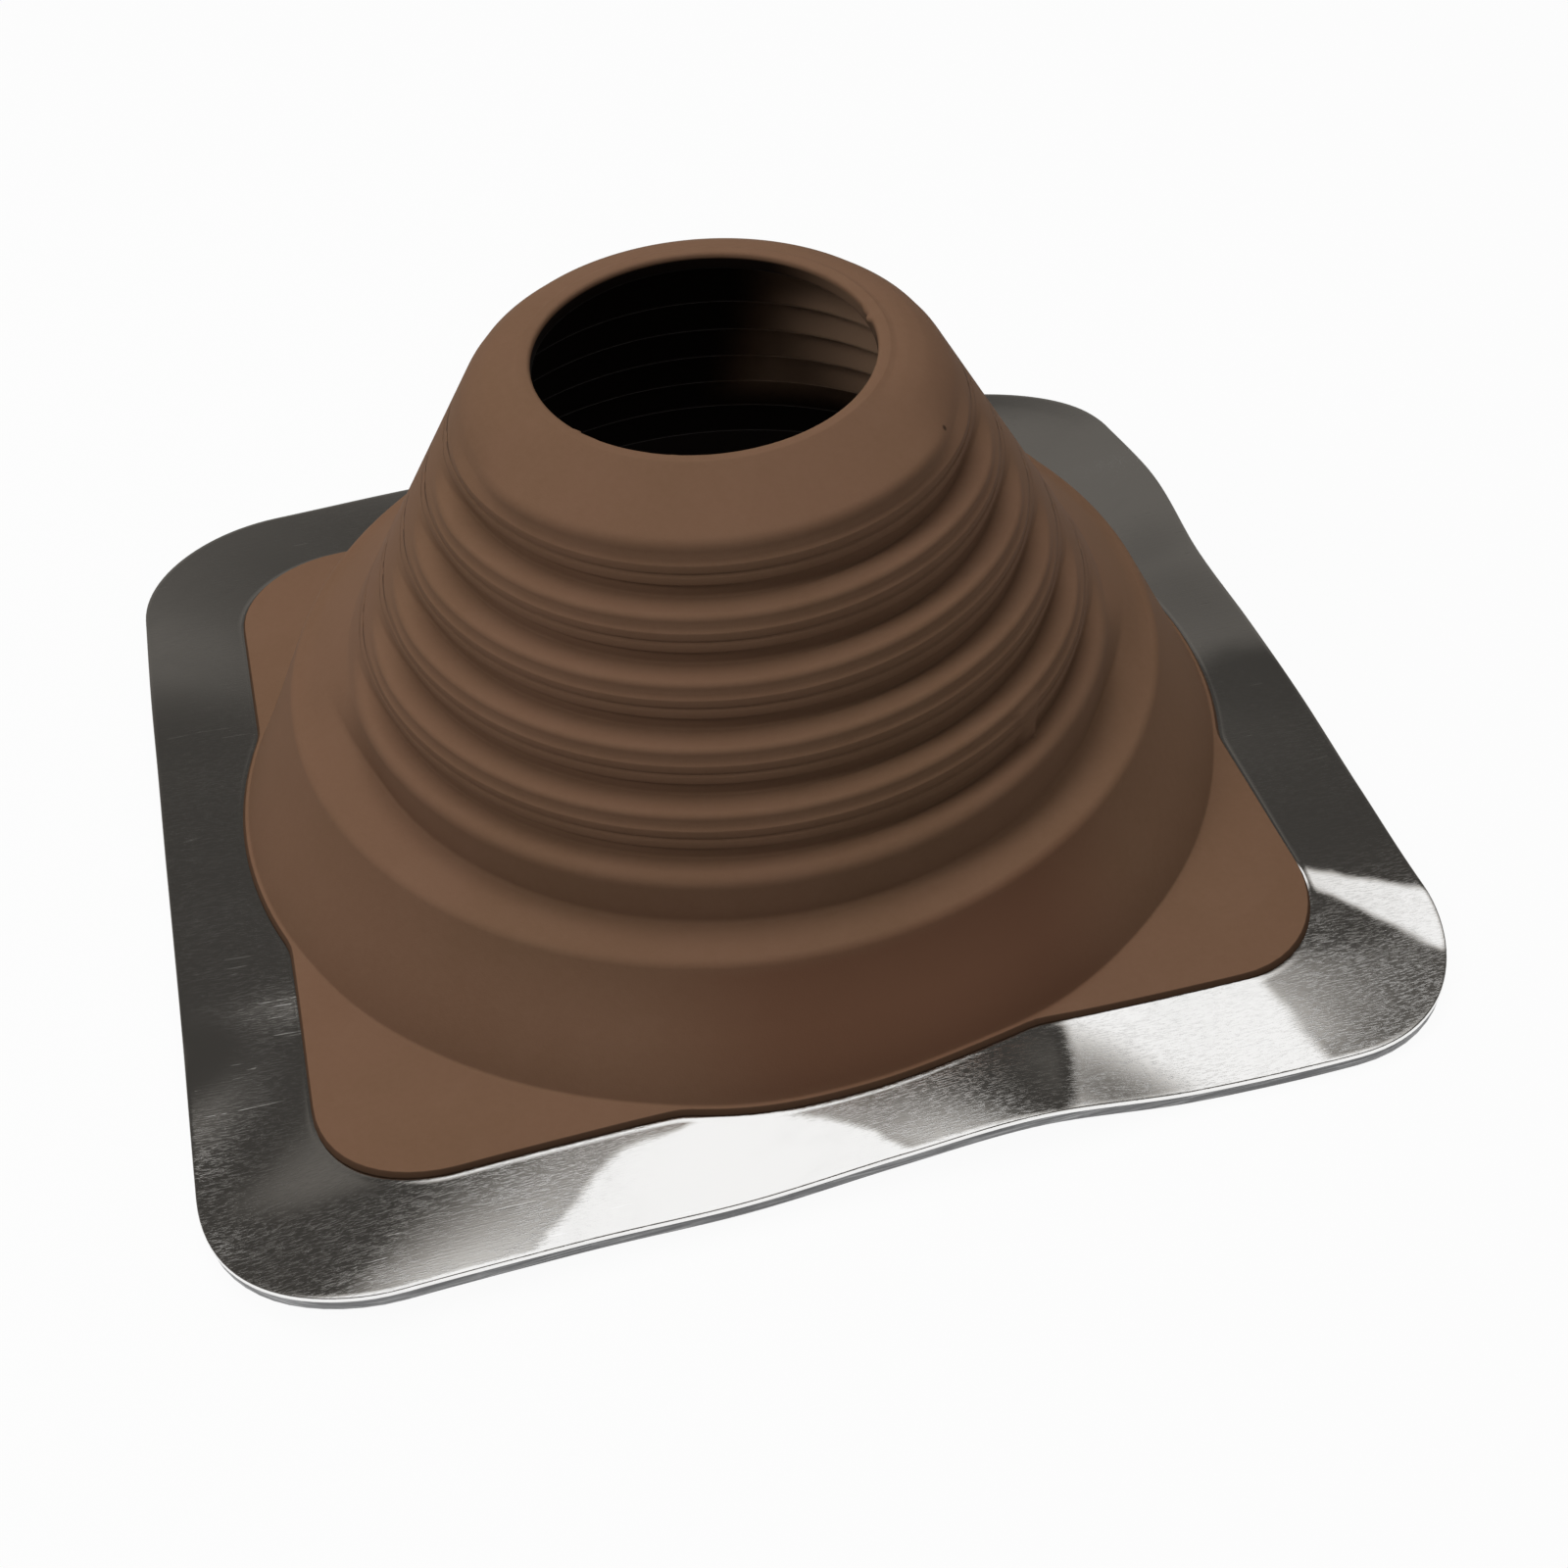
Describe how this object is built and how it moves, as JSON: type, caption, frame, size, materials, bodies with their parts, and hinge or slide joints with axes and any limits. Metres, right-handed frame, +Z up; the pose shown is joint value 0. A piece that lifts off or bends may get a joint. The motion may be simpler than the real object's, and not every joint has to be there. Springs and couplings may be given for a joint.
{
  "type": "pipe flashing boot",
  "caption": "Stepped rubber cone on a square metal base plate that seals a pipe where it passes through a roof.",
  "frame": {"origin": "on the cone's axis at the resting face under the base", "axes": "+Z up along the cone's axis towards the mouth, -Y towards the stepped front, +Y towards the smooth rear, +X along a side of the square base"},
  "size_m": [0.305, 0.305, 0.1294],
  "materials": {
    "rubber": "matte moulded",
    "plate_metal": "bright mill finish"
  },
  "bodies": {
    "root": {"boot": "rubber", "base_plate": "plate_metal"}
  },
  "joints": []
}
